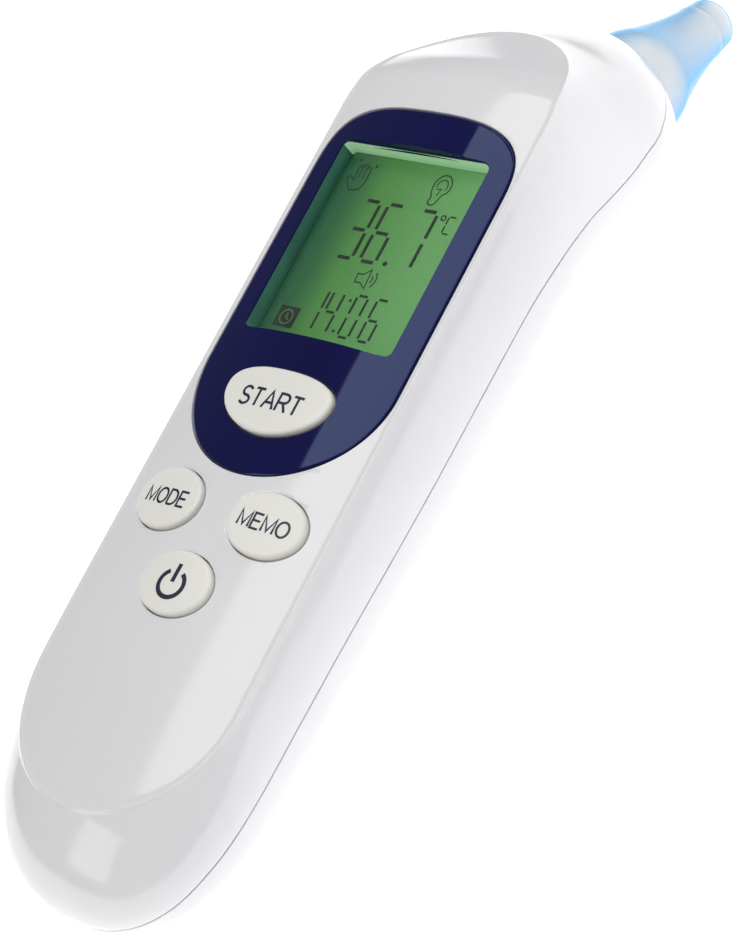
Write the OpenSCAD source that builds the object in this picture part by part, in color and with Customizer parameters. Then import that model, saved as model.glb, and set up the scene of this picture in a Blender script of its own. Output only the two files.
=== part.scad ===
// Infrared ear thermometer with a pull-off probe cover, four keys and a sliding battery door.
// It lies on its back, display up. +Y runs along the handle towards the probe, +Z is up.
// All shapes are drawn in the body's own frame (display centre at 0,0, face normal = +Z),
// then lie() tips them onto the resting plane.

/* [Body] */
// Half width of the handle at the parting line
half_w = 18.4; // [14:0.1:24]
// Shell wall thickness
wall = 2.0; // [1.4:0.1:3]
// Crown radius of the face across the handle
crown_r = 60; // [30:1:200]
// Height of the crown above the display's side edges
crown_z = 1.0; // [0:0.1:3]
// Radius of the ball-shaped head
head_r = 15.3; // [12:0.1:20]
// Head centre along the handle
head_y = 31.4; // [25:0.1:40]
// Head centre depth below the face
head_z = -23.6; // [-30:0.1:-15]

/* [Face] */
// Display window width
win_w = 23.5; // [18:0.5:30]
// Display window length
win_l = 27.5; // [20:0.5:36]
// Half width of the dark display panel
panel_hw = 15.2; // [12:0.1:17]
// Thickness of the dark display panel
panel_t = 1.2; // [0.8:0.1:2]
// Key press travel
key_travel = 0.5; // [0.2:0.1:1]
// Clearance round each key
key_gap = 0.3; // [0.2:0.05:0.6]
// Oval key half width
key_a = 5.35; // [4:0.05:7]
// Oval key half length
key_b = 4.15; // [3:0.05:6]

/* [Probe] */
// Angle of the probe below the handle's axis
probe_angle = 27.8; // [10:0.5:60]
// Distance from head centre to the tip of the probe cover
probe_len = 36.3; // [30:0.1:45]
// Probe cover wall thickness
cover_t = 0.35; // [0.2:0.05:0.8]

/* [Battery door] */
// Half width of the battery door
door_hw = 13.1; // [10:0.1:15]
// Upper end of the battery door
door_y = -21.8; // [-30:0.1:-18]
// Door wall thickness
door_t = 1.4; // [1:0.1:2]

/* [Hidden] */
$fn = 48;
butt_y = -87.4;
rest_tilt = 9.98;
rest_lift = 32.88;
rest_y = 7.06;
rest_flat = 0.15;
keys = [[-7.9, -38.2], [7.9, -38.2], [0, -48.2]];
start_y = -23.2;
pcb_top = -5.8;
pcb_t = 1.2;
bat_x = 5.6;
bat_z = -13.05;
bat_r = 5.1;
bat_y0 = -70.5;
bat_l = 44.5;
screws = [[-12.2, -18.1], [12.2, -18.1]];
screw_hole = 1.3;
// Part to show

// ---- resting pose -------------------------------------------------------------------
module lie() translate([0, rest_y, rest_lift - rest_flat]) rotate([rest_tilt, 0, 0]) children();
// the plane it rests on, in the body's frame: what dips below it is rubbed flat
module below_rest() rotate([-rest_tilt, 0, 0]) translate([-60, -120, -rest_lift + rest_flat - 50]) cube([120, 240, 50]);

// ---- smooth curve through a short list of stations ------------------------------------
function seg(t, y, i = 0) = (i >= len(t) - 2 || y < t[i + 1][0]) ? i : seg(t, y, i + 1);
function rise(t, i) = (t[i + 1][1] - t[i][1]) / (t[i + 1][0] - t[i][0]);
function slope(t, i) = i == 0 ? rise(t, 0) : i == len(t) - 1 ? rise(t, i - 1) :
  let (a = rise(t, i - 1), b = rise(t, i)) a * b <= 0 ? 0 : 2 * a * b / (a + b);
function curve(t, y) = let (i = seg(t, y), h = t[i + 1][0] - t[i][0],
    u = min(1, max(0, (y - t[i][0]) / h)), v = 1 - u)
  t[i][1] * v * v * (1 + 2 * u) + t[i + 1][1] * u * u * (3 - 2 * u)
  + h * (slope(t, i) * u * v * v - slope(t, i + 1) * u * u * v);
function oval(u, p) = pow(max(0, 1 - pow(min(1, max(0, u)), p)), 1 / p);

// ---- body stations: parting line, rear line, face line, widths -------------------------
part_line = [[-87.4, -10.5], [-82, -9.8], [-76, -9.0], [-66, -8.5], [-50, -9.0], [-25, -10.4],
  [0, -11.2], [8, -12.2], [15.5, -14.2], [22, -17.4], [28, -20.4], [34, -22.4], [46.7, -23.6]];
face_drop = [[20, 0], [24, 0.25], [28, 1.9], [31, 4.0], [33.5, 5.7], [36.8, 7.9], [40.5, 11.4],
  [44, 15.9]];
neck_w = [[0, 18.4], [8, 18.3], [15, 17.9], [22, 17.0], [28, 15.9], [31.4, 15.3]];
neck_z = [[0, -26.8], [8, -27.8], [12, -28.9], [16, -31.1], [20, -34.2], [25, -37.4], [31.4, -38.9]];
function ball(y) = sqrt(max(0, head_r * head_r - pow(y - head_y, 2)));
function z_p(y) = curve(part_line, y);
function w_p(y) = y < -62 ? half_w * oval((-62 - y) / 25.4, 2.4) : y < 0 ? half_w :
  y < head_y ? curve(neck_w, y) : ball(y);
function z_face(y) = y < -76.9 ? -10.5 + 11.6 * oval((-72 - y) / 15.4, 1.7) :
  y < -50 ? crown_z - 0.9 * pow((-50 - y) / 26.9, 2) :
  y < 20 ? crown_z : y < 43.9 ? crown_z - curve(face_drop, y) : head_z + ball(y);
function z_r(y) = y < 0 ? let (line = -20.9 - 0.0843 * (y + 70))
    (y < -70 ? -10.5 + (line + 10.5) * oval((-70 - y) / 17.4, 2.2) : line) :
  y < head_y ? curve(neck_z, y) : head_z - ball(y);
function w_plate(y) = max(0.3 * w_p(y), y < -60 ? 16.1 * sqrt(max(0, 1 - pow((-60 - y) / 16.9, 2))) :
  y < 20 ? 16.1 : 16.1 * sqrt(max(0, 1 - pow((y - 20) / 16.8, 2))));
function bulge(y) = y < 0 ? 2.6 : y < 25 ? 2.6 - 0.6 * y / 25 : 2;
side_power = [[-87.4, 2.2], [0, 2.2], [8, 2.4], [15, 2.6], [20, 3.0], [24, 3.0], [28, 2.9], [31, 2.7],
  [33.5, 2.5], [36.8, 2.4], [40.5, 2.3], [44, 2.1], [46.7, 2.0]];

// half section, from the middle of the face round to the middle of the back, o = inward offset
function half_sec(y, o) = let (
    wp = w_p(y) - o, zp = z_p(y), zt = z_face(y) - o, zr = z_r(y) + o,
    wt = min(max(w_plate(y) - 0.6 * o, 0.25 * wp), 0.95 * wp), zc = zt - wt * wt / (2 * crown_r), e = bulge(y),
    p = curve(side_power, y), a0 = acos(pow(wt / wp, p / 2)), h = (zc - zp) / pow(sin(a0), 2 / p))
  concat(
    [for (i = [0:4]) let (x = wt * i / 4) [x, zt - x * x / (2 * crown_r)]],
    [for (i = [1:5]) let (a = a0 * (1 - i / 6)) [wp * pow(cos(a), 2 / p), zp + h * pow(sin(a), 2 / p)]],
    [for (i = [0:8]) let (a = 90 * i / 8)
      [i == 8 ? 0 : wp * pow(cos(a), 2 / e), i == 0 ? zp : zp + (zr - zp) * pow(sin(a), 2 / e)]]);
function ring(y, o, yo) = let (h = half_sec(y, o), n = len(h)) concat(
  [for (i = [0:n - 1]) [h[i][0], yo, h[i][1]]],
  [for (i = [n - 2:-1:1]) [-h[i][0], yo, h[i][1]]]);
// stations: [outer y, share of the offset taken along y]
stations = concat(
  [for (a = [82, 72, 60, 48, 36, 24, 12]) [-62 - 25.4 * sin(a), sin(a)]],
  [for (y = [-62, -50, -36, -22, -8, 2, 8, 13, 18, 22, 26, 29]) [y, 0]],
  [for (a = [0, 15, 28, 41, 54, 67, 79]) [head_y + head_r * sin(a), -sin(a)]]);
// closed body, drawn o inside the outer skin
module body(o = 0) {
  rings = [for (s = stations) ring(s[0], o, s[0] + o * s[1])];
  n = len(rings[0]);
  m = len(rings);
  polyhedron(
    points = [for (r = rings) for (p = r) p],
    faces = concat(
      [[for (i = [0:n - 1]) i]],
      [for (k = [0:m - 2]) for (i = [0:n - 1]) let (j = (i + 1) % n)
        each [[k * n + j, k * n + i, (k + 1) * n + j], [(k + 1) * n + j, k * n + i, (k + 1) * n + i]]],
      [[for (i = [n - 1:-1:0]) (m - 1) * n + i]]),
    convexity = 8);
}
// everything in front of the parting line, moved d towards the back
module front_side(d = 0) rotate([90, 0, 90]) translate([0, 0, -40]) linear_extrude(80)
  polygon(concat([[-100, 30], [-100, z_p(butt_y) + 0.33 - d]],
    [for (i = [0:len(stations) - 2]) let (y = stations[i][0] * 0.45 + stations[i + 1][0] * 0.55)
      [y, z_p(y) + 0.33 - d]], [[60, z_p(46.7) + 0.33 - d], [60, 30]]));
// the face's crown as a long cylinder, d above or below the skin
module crown(d = 0) translate([0, 60, crown_z - crown_r]) rotate([90, 0, 0])
  cylinder(r = crown_r + d, h = 170, $fn = 180);

// ---- outlines on the face ---------------------------------------------------------------
// dark panel: half-oval foot, straight sides, gently arched top with round corners; g = growth
module panel_outline(g = 0) polygon(concat(
  [for (a = [0:6:180]) [(panel_hw - 0.3 * sin(a) + g) * cos(a), -18.5 - (14.4 + g) * sin(a)]],
  [for (a = [180:-6:0]) let (c = cos(a), k = 3.6)
    [(panel_hw + g) * sign(c) * pow(abs(c), 2 / k), 8 + (11.1 + g) * pow(sin(a), 2 / k)]]));
// start key: rounded shield, widest near its top edge
module start_outline(g = 0) polygon([for (a = [0:8:352]) let (
    c = cos(a), s = sin(a), k = s > 0 ? 2.6 : 1.85, w = 8.25 + g, h = (s > 0 ? 3.4 : 5.4) + g)
  [w * sign(c) * pow(abs(c), 2 / k), start_y + 0.9 + h * sign(s) * pow(abs(s), 2 / k)]]);
module oval_outline(p, g = 0) translate(p) scale([1, 1]) polygon([for (a = [0:10:350])
  [(key_a + g) * cos(a), (key_b + g) * sin(a)]]);
// slab between two crown levels, cut to a 2D outline
module face_slab(top, bottom) difference() {
  intersection() {
    translate([0, 0, -12]) linear_extrude(20) children();
    crown(top);
  }
  crown(bottom);
}
module face_hole(z0 = -12) translate([0, 0, z0]) linear_extrude(20) children();
module window(g = 0) square([win_w + 2 * g, win_l + 2 * g], center = true);

// ---- shells -------------------------------------------------------------------------------
module probe_frame() translate([0, head_y, head_z]) rotate([-90 - probe_angle, 0, 0]) children();
module front_shell() color("white") lie() resize([0, 0, 0]) difference() {
  union() {
    intersection() {
      difference() { body(0); body(wall); }
      front_side(0);
    }
    // screw bosses hang from the face
    for (s = screws) intersection() {
      translate([s[0], s[1], z_p(s[1]) + 0.2]) cylinder(r = 2.2, h = 12, $fn = 20);
      body(1);
    }
    intersection() {
      translate([0, -80.4, -9.2]) cylinder(r = 2.2, h = 9, $fn = 20);
      body(1);
    }
  }
  // pocket for the dark panel, window, key holes
  difference() { face_hole() panel_outline(0.15); crown(-panel_t - 0.05); translate([0, 0, -14]) cube([60, 260, 20], center = true); }
  face_hole() window(1);
  face_hole() start_outline(key_gap);
  for (p = keys) face_hole() oval_outline(p, key_gap);
  for (s = screws) translate([s[0], s[1], -30]) cylinder(r = screw_hole, h = 26, $fn = 16);
  translate([0, -80.4, -30]) cylinder(r = screw_hole, h = 26.5, $fn = 16);
  probe_frame() translate([0, 0, 6]) cylinder(r = 8.3, h = 20, $fn = 48);
}
// the space that the battery door fills, g = clearance added
module door_space(g = 0) translate([-door_hw - g, -110, -60]) cube([2 * (door_hw + g), 110 + door_y + g, 60 - 14.0 + g]);
module rear_shell() color("whitesmoke") lie() resize([0, 0, 0]) difference() {
  union() {
    difference() {
      intersection() {
        difference() { body(0); body(wall); }
        difference() { body(-1); front_side(0); }
      }
      door_space(0.3);
    }
    intersection() {
      body(1);
      difference() {
        union() {
          // ledges that carry the tray and guide the door
          for (m = [0, 1]) mirror([m, 0, 0]) translate([12.2, -68, -15.8]) cube([8, 43.7, 1.2]);
          translate([-20, -25.4, -17.8]) cube([40, 1.1, 3.2]);
          // screw pillars
          for (s = screws) translate([s[0], s[1], -30]) cylinder(r = 3.4, h = 30 + z_p(s[1]) - 0.2, $fn = 24);
          translate([-16, -82.6, -12.4]) cube([32, 4.6, 3]);
        }
        front_side(0.1);
      }
    }
    // battery tray
    intersection() {
      difference() {
        translate([-12.6, -77, -15.8]) cube([25.2, 52.7, 8.6]);
        translate([-11.5, -75.9, -20]) cube([23, 50.5, 12.15]);
      }
      body(door_t + 0.5);
    }
    // guide ring round the probe
    intersection() {
      body(1);
      difference() { probe_frame() translate([0, 0, 9.5]) cylinder(r = 9.8, h = 4, $fn = 40); front_side(0.1); }
    }
  }
  for (s = screws) {
    translate([s[0], s[1], -40]) cylinder(r = screw_hole, h = 40, $fn = 16);
    translate([s[0], s[1], -40]) cylinder(r = 2.6, h = 40 - 15.2, $fn = 24);
  }
  translate([0, -80.4, -40]) cylinder(r = screw_hole, h = 40, $fn = 16);
  probe_frame() translate([0, 0, 6]) cylinder(r = 8.3, h = 20, $fn = 48);
  below_rest();
}
module battery_door() color("whitesmoke") lie() resize([0, 0, 0]) union() {
  difference() {
    intersection() {
      difference() { body(0); body(door_t); }
      door_space(0);
    }
    below_rest();
  }
  // hook under the shell's edge, and finger ribs
  intersection() {
    difference() { body(wall + 0.35); body(wall + 1.35); }
    translate([-7, door_y - 4, -40]) cube([14, 7, 25]);
  }
  intersection() {
    difference() { body(door_t - 0.3); body(wall + 1.35); }
    translate([-7, door_y - 4, -40]) cube([14, 3.6, 25]);
  }
}

// ---- display ------------------------------------------------------------------------------
module display_panel() color("midnightblue") lie() resize([0, 0, 0]) difference() {
  face_slab(0, -panel_t) panel_outline(0);
  face_hole() window(0);
  face_hole() start_outline(key_gap);
}
module display_lens() color("lightcyan", 0.5) lie() translate([0, 0, -2.05])
  cube([win_w + 1.4, win_l + 1.4, 0.6], center = true);
module lcd_glass() color("seagreen") lie() translate([0, 0, -3.35]) cube([win_w + 0.6, win_l + 0.6, 1.6], center = true);
module light_guide() color("honeydew") lie() translate([0, 0, -4.85]) cube([win_w + 0.4, win_l + 0.4, 1.2], center = true);
module lcd_frame() color("ivory") lie() difference() {
  translate([0, 0, -4.25]) cube([win_w + 3.4, win_l + 3.4, 3.0], center = true);
  cube([win_w + 0.8, win_l + 0.8, 30], center = true);
}

// ---- keys ---------------------------------------------------------------------------------
// a key: domed cap through the face, retaining flange behind it, plunger above its switch
module key_solid(p, dome, foot) {
  intersection() {
    face_slab(dome, -wall - 1.0) children(0);
    translate([p[0], p[1], -26]) scale([1, 1, 1]) sphere(r = 26 + crown_z + dome - p[0] * p[0] / (2 * crown_r) + 0.15, $fn = 90);
  }
  face_slab(-wall - 0.35, -wall - 1.0) children(1);
  translate([p[0], p[1], foot]) cylinder(r = 1.4, h = 2.2, $fn = 32);
}
module oval_key(p) color("linen") lie() resize([0, 0, 0]) key_solid(p, 0.75, -3.95) {
  oval_outline(p, 0);
  oval_outline(p, 0.9);
}
module mode_key() oval_key(keys[0]);
module memo_key() oval_key(keys[1]);
module power_key() oval_key(keys[2]);
module start_key() color("linen") lie() resize([0, 0, 0]) key_solid([0, start_y], 0.75, -3.95) {
  start_outline(0);
  start_outline(0.9);
}

// ---- electronics --------------------------------------------------------------------------
module main_board() color("darkgreen") lie() difference() {
  translate([0, 0, pcb_top - pcb_t]) linear_extrude(pcb_t) difference() {
    union() {
      translate([-12.8, -64]) square([25.6, 86]);
      translate([-8, -72]) square([16, 10]);
      for (x = [-8, 8]) translate([x, -66]) circle(r = 4.8);
    }
    for (s = screws) translate([s[0], s[1]]) circle(r = 3);
    for (x = [-9, 9]) translate([x, 18.5]) circle(r = 1.1);
  }
}
module tact_switches() color("silver") lie() for (p = concat(keys, [[0, start_y]])) translate([p[0], p[1], pcb_top]) {
  translate([-2.3, -2.3, 0]) cube([4.6, 4.6, 0.8]);
  cylinder(r = 1.1, h = 1.1);
}
module controller_chip() color("black") lie() translate([-5, 0.5, pcb_top - pcb_t - 1.4]) cube([10, 10, 1.4]);
module memory_chip() color("dimgray") lie() translate([-9.5, -12, pcb_top - pcb_t - 1.3]) cube([5, 4, 1.3]);
module buzzer() color("black") lie() translate([5.5, -11, pcb_top - pcb_t - 3]) difference() {
  cylinder(r = 5, h = 3);
  translate([0, 0, -1]) cylinder(r = 0.9, h = 2.2);
}
module sensor_flex() color("orange") lie() translate([-2.5, 0, 0]) rotate([90, 0, 90]) linear_extrude(5)
  polygon([[15, -7.02], [21.4, -7.02], [24.0, -8.4], [29.0, -18.6], [32.6, -23.3], [44.7, -29.9],
    [44.6, -30.15], [32.45, -23.55], [28.8, -18.75], [23.85, -8.6], [21.3, -7.25], [15, -7.25]]);

// ---- probe --------------------------------------------------------------------------------
// outer radius of the probe cover, t behind its tip: a flared trumpet that runs out straight
cover_base = 13.3;
function trumpet(t) = 3.72 + 0.045 * t + 0.0094 * t * t;
function flare(t) = t < 17 ? trumpet(t) : trumpet(17) + 0.97 * (1 - exp(-(t - 17) * 0.365 / 0.97));
module turned(pts) probe_frame() rotate_extrude($fn = 96) polygon(pts);
module probe_collar() color("white") lie() turned([[7.15, 10.5], [8.2, 10.5], [8.2, 12.5], [8.0, 12.9], [7.15, 12.9]]);
module probe_barrel() color("gainsboro") lie() turned(concat(
  [for (t = [1.2, 4, 7, 10, 13, 16, 19]) [flare(t) - cover_t - 0.3, probe_len - t]],
  [[7.0, 16.6], [7.0, 8.4], [8.6, 8.4], [8.6, 7.2], [5.4, 7.2], [5.4, 17.0], [2.45, 24], [2.45, probe_len - 1.2]]));
module probe_window() color("dimgray") lie() turned([[0, probe_len - 2.0], [2.35, probe_len - 2.0], [2.35, probe_len - 1.4], [0, probe_len - 1.4]]);
module waveguide_tube() color("goldenrod") lie() turned([[1.5, 20.1], [1.9, 20.1], [1.9, 34.0], [1.5, 34.0]]);
module sensor_can() color("silver") lie() turned([[0, 15.6], [3.2, 15.6], [3.2, 16.1], [2.6, 16.1], [2.6, 19.9], [0, 19.9]]);
module sensor_holder() color("darkgray") lie() turned([[2.75, 16.3], [3.4, 16.3], [3.4, 15.4], [5.3, 15.4], [5.3, 17.0],
  [2.4, 23.9], [1.95, 23.9], [1.95, 20.05], [2.75, 20.05]]);
module probe_cover() color("lightskyblue", 0.6) lie() turned(concat(
  [[0, probe_len], [2.6, probe_len - 0.06], [3.3, probe_len - 0.3]],
  [for (t = [1.0, 3, 5, 7, 9, 11, 13, 15, 17, 19, 21]) [flare(t), probe_len - t]],
  [[8.15, cover_base], [8.15 - cover_t, cover_base]],
  [for (t = [21, 19, 17, 15, 13, 11, 9, 7, 5, 3, 1.2]) [flare(t) - cover_t, probe_len - t]],
  [[2.9, probe_len - 0.55], [0, probe_len - 0.36]]));

// ---- power --------------------------------------------------------------------------------
module aaa_cell() rotate([-90, 0, 0]) {
  cylinder(r = bat_r, h = bat_l - 0.9);
  cylinder(r = 1.9, h = bat_l);
}
module battery_left() color("steelblue") lie() translate([-bat_x, bat_y0, bat_z]) aaa_cell();
module battery_right() color("steelblue") lie() translate([bat_x, bat_y0 - 4.7 + bat_l, bat_z]) rotate([0, 0, 180]) aaa_cell();
module coil_spring(r, h, w) for (i = [0:3]) translate([0, h * (i + 0.5) / 4, 0]) rotate([90, 0, 0])
  rotate_extrude($fn = 40) translate([r - i * 0.55, 0]) circle(r = w, $fn = 16);
module battery_springs() color("silver") lie() {
  translate([-bat_x, -75.2, bat_z]) coil_spring(3.8, 4.6, 0.35);
  translate([bat_x, -26.0, bat_z]) rotate([0, 0, 180]) coil_spring(3.8, 4.6, 0.35);
}
module battery_contacts() color("silver") lie() {
  translate([-10, -75.7, -15.6]) cube([20, 0.35, 6.6]);
  for (x = [-9.8, 1.4]) translate([x, -25.85, -15.6]) cube([8.4, 0.35, 6.6]);
}

// ---- fasteners ----------------------------------------------------------------------------
module pan_screw(l) {
  translate([0, 0, -0.3]) cylinder(r = 1.2, h = l);
  difference() {
    translate([0, 0, -1.7]) cylinder(r = 2.3, h = 1.65);
    for (a = [0, 90]) rotate([0, 0, a]) translate([-1.6, -0.3, -2]) cube([3.2, 0.6, 1.1]);
  }
}
module case_screws() color("slategray") lie() {
  for (s = screws) translate([s[0], s[1], -15.2]) pan_screw(8);
  translate([0, -80.4, -12.4]) pan_screw(7);
}

front_shell();
rear_shell();
battery_door();
display_panel();
display_lens();
start_key();
mode_key();
memo_key();
power_key();
lcd_glass();
lcd_frame();
light_guide();
main_board();
tact_switches();
controller_chip();
memory_chip();
buzzer();
sensor_flex();
probe_collar();
probe_barrel();
probe_window();
waveguide_tube();
sensor_can();
sensor_holder();
probe_cover();
battery_left();
battery_right();
battery_springs();
battery_contacts();
case_screws();
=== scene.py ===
import math

import bmesh
import bpy
import numpy as np
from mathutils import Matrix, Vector

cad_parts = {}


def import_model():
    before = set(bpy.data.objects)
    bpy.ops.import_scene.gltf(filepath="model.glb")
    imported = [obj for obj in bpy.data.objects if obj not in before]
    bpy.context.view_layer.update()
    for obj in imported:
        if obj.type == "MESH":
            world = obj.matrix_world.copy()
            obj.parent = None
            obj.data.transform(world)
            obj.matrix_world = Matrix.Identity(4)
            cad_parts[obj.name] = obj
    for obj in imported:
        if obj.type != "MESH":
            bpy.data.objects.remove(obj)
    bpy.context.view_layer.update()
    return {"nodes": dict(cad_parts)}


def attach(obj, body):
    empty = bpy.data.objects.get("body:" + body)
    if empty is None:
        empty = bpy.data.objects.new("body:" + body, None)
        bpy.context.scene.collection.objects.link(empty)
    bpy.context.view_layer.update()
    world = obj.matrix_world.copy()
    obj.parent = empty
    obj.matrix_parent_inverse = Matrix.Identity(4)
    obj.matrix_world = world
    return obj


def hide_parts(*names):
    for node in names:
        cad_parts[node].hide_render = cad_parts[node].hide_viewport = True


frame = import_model()

# ---- lengths below are millimetres in the body's own frame: display centre at 0,0, +Z out of it ----
MM = 0.001
WELD = 2e-7                 # metres; points nearer than this are one point
SHARP_DEGREES = 35.0
REST_TILT = math.radians(9.98)
REST_Y = 7.06
REST_Z = 32.73
BUTT_Y, BUTT_Z = -87.4, -10.5
HEAD_Y, HEAD_Z, HEAD_R = 31.4, -23.6, 15.3
HALF_W = 18.4
CROWN_R, CROWN_Z = 60.0, 1.0
WALL = 2.0
PLATE_HW = 16.1
PLATE_LOW, PLATE_HIGH = -60.0, 20.0
PLATE_FOOT, PLATE_HEAD = 16.9, 16.8     # how far the plate's rounded ends reach past its straight sides
PLATE_FOOT_Y, PLATE_HEAD_Y = -76.9, 36.8
BUTT_START, BUTT_LEN = -62.0, 25.4      # where the handle starts to narrow towards its end
BALL_Y = 43.9               # beyond this the nose is the ball's own surface
SEAM_GAP, SEAM_IN, SEAM_EDGE = 0.06, 0.09, 0.14     # half gap, chamfer depth and height at the parting line
LIP = 0.16
WIN_W, WIN_L = 23.5, 27.5
PANEL_T = 1.2
KEY_GAP = 0.16
KEY_RISE = 0.75
START_Y = -23.2
KEYS = {"mode": (-7.9, -38.2), "memo": (7.9, -38.2), "power": (0.0, -48.2)}
KEY_A, KEY_B = 5.35, 4.15
KEY_EDGE = 0.42             # rounding of a key's top edge
KEY_SKIRT, FLANGE_TOP, FLANGE_LOW, STEM_TOP = 2.3, 2.35, 2.95, 3.0      # depths below the face
FLANGE_OUT, STEM_SHARE, STEM_Z = 0.8, 0.28, -3.95
DOOR_HW, DOOR_Y, DOOR_Z, DOOR_T = 13.1, -21.8, -14.0, 1.4
DOOR_GAP = 0.16
SCREWS = [(-12.2, -18.1), (12.2, -18.1)]    # the two in wells; the door covers the third
WELL_R, PILLAR_R, BOLT_R = 2.7, 3.4, 1.3
WELL_Z, PILLAR_LOW, PILLAR_HIGH = -45, -18.2, -12.0
PROBE_ANGLE = math.radians(27.8)
PROBE_LEN = 36.3
COVER_T = 0.35
COVER_BASE = 13.3
TIP_R = 3.72
FLARE_LEN, FLARE_R = 17, 7.2016     # where the cover's curved flare ends, and its radius there
RIM_RISE, RIM_SLOPE = 0.97, 0.365   # how the radius runs out behind that
LCD_Z = -2.55

# the camera that the photo was taken with, solved from the display window, the keys and the probe
CAMERA_LENS = 107.2316
CAMERA_AT = (0.21931, -0.14633, 0.24436)
CAMERA_TURN = (0.747092, 0.408817, 0.607632)

PART_LINE = [(-87.4, -10.5), (-82, -9.8), (-76, -9.0), (-66, -8.5), (-50, -9.0), (-25, -10.4), (0, -11.2),
             (8, -12.2), (15.5, -14.2), (22, -17.4), (28, -20.4), (34, -22.4), (46.7, -23.6)]
FACE_DROP = [(20, 0), (24, 0.25), (28, 1.9), (31, 4.0), (33.5, 5.7), (36.8, 7.9), (40.5, 11.4), (44, 15.9)]
NECK_W = [(0, 18.4), (8, 18.3), (15, 17.9), (22, 17.0), (28, 15.9), (31.4, 15.3)]
NECK_Z = [(0, -26.8), (8, -27.8), (12, -28.9), (16, -31.1), (20, -34.2), (25, -37.4), (31.4, -38.9)]
SIDE_POWER = [(-87.4, 2.2), (0, 2.2), (8, 2.4), (15, 2.6), (20, 3.0), (24, 3.0), (28, 2.9), (31, 2.7),
              (33.5, 2.5), (36.8, 2.4), (40.5, 2.3), (44, 2.1), (46.7, 2.0)]


# ---- numbers ------------------------------------------------------------------------------------
def world(points):
    """Body millimetres to world metres. What would dip below the table is rubbed flat.

    Cutting tools are flattened too, so one that reaches under the table comes out slanted. That puts the
    battery lid's upper edge about 3.6 mm nearer the head than in the CAD.
    """
    p = np.asarray(points, float)
    c, s = math.cos(REST_TILT), math.sin(REST_TILT)
    y = REST_Y + c * p[:, 1] - s * p[:, 2]
    z = np.maximum(REST_Z + s * p[:, 1] + c * p[:, 2], 0.0)
    return np.stack([p[:, 0], y, z], 1) * MM


def curve(table, y):
    """Smooth curve through a table's stations that never overshoots them."""
    t = np.array(table, float)
    knots, values = t[:, 0], t[:, 1]
    rise = np.diff(values) / np.diff(knots)
    both = rise[:-1] * rise[1:]
    total = np.where(both > 0, rise[:-1] + rise[1:], 1.0)
    slope = np.concatenate([rise[:1], np.where(both > 0, 2 * both / total, 0.0), rise[-1:]])
    i = np.clip(np.searchsorted(knots, y, side="right") - 1, 0, len(knots) - 2)
    h = knots[i + 1] - knots[i]
    u = np.clip((y - knots[i]) / h, 0, 1)
    v = 1 - u
    ends = values[i] * v * v * (1 + 2 * u) + values[i + 1] * u * u * (3 - 2 * u)
    return ends + h * (slope[i] * u * v * v - slope[i + 1] * u * u * v)


def oval(u, power):
    return (1 - np.clip(u, 0, 1) ** power) ** (1 / power)


def ball(y):
    return np.sqrt(np.maximum(0, HEAD_R ** 2 - (y - HEAD_Y) ** 2))


def half_width(y):
    body = np.where(y < BUTT_START, HALF_W * oval((BUTT_START - y) / BUTT_LEN, 2.4), HALF_W)
    body = np.where(y < 0, body, curve(NECK_W, y))
    return np.where(y < HEAD_Y, body, ball(y))


def parting_z(y):
    return curve(PART_LINE, y)


def face_z(y):
    butt = BUTT_Z + 11.6 * oval((-72 - y) / 15.4, 1.7)
    handle = np.where(y < -50, CROWN_Z - 0.9 * ((-50 - y) / 26.9) ** 2, CROWN_Z)
    nose = CROWN_Z - curve(FACE_DROP, y)
    front = np.where(y < PLATE_FOOT_Y, butt, np.where(y < PLATE_HIGH, handle, nose))
    return np.where(y < BALL_Y, front, HEAD_Z + ball(y))


def rear_z(y):
    line = -20.9 - 0.0843 * (y + 70)
    handle = np.where(y < -70, BUTT_Z + (line - BUTT_Z) * oval((-70 - y) / 17.4, 2.2), line)
    return np.where(y < 0, handle, np.where(y < HEAD_Y, curve(NECK_Z, y), HEAD_Z - ball(y)))


def plate_half(y):
    """Half width of the face plate, the area inside the crease."""
    low = PLATE_HW * np.sqrt(np.maximum(0, 1 - ((PLATE_LOW - y) / PLATE_FOOT) ** 2))
    high = PLATE_HW * np.sqrt(np.maximum(0, 1 - ((y - PLATE_HIGH) / PLATE_HEAD) ** 2))
    return np.where(y < PLATE_LOW, low, np.where(y < PLATE_HIGH, PLATE_HW, high))


def crown(x):
    return CROWN_Z - np.asarray(x, float) ** 2 / (2 * CROWN_R)


def plate_z(x, y):
    return face_z(y) - x ** 2 / (2 * CROWN_R)


def side_share(x, y):
    return np.clip(np.abs(x) / np.maximum(half_width(y), 1e-6), 0, 1)


def side_height(y):
    """Height of the side surface above the parting line, so that it passes through the crease."""
    p = curve(SIDE_POWER, y)
    wt = plate_half(y)
    zc = face_z(y) - wt ** 2 / (2 * CROWN_R)
    share = np.clip(wt / np.maximum(half_width(y), 1e-6), 0, 0.97)
    return (zc - parting_z(y)) / (1 - share ** p) ** (1 / p)


def side_z(share, y, inset=0.0):
    p = curve(SIDE_POWER, y)
    return parting_z(y) + (side_height(y) - inset) * (1 - share ** p) ** (1 / p)


def bowl_z(share, y, inset=0.0):
    e = np.where(y < 0, 2.6, np.where(y < 25, 2.6 - 0.6 * y / 25, 2.0))
    depth = parting_z(y) - rear_z(y) - inset
    return parting_z(y) - depth * (1 - share ** e) ** (1 / e)


def grip(x, y):
    """Five low finger ribs across the upper end of the battery door."""
    across = np.clip((7.5 - np.abs(x)) / 1.2, 0, 1)
    along = np.clip((y + 37.0) / 0.6, 0, 1) * np.clip((-26.0 - y) / 0.6, 0, 1)
    return 0.32 * across * along * (0.5 + 0.5 * np.cos((y + 36.0) * 2 * math.pi / 2.2))


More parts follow.
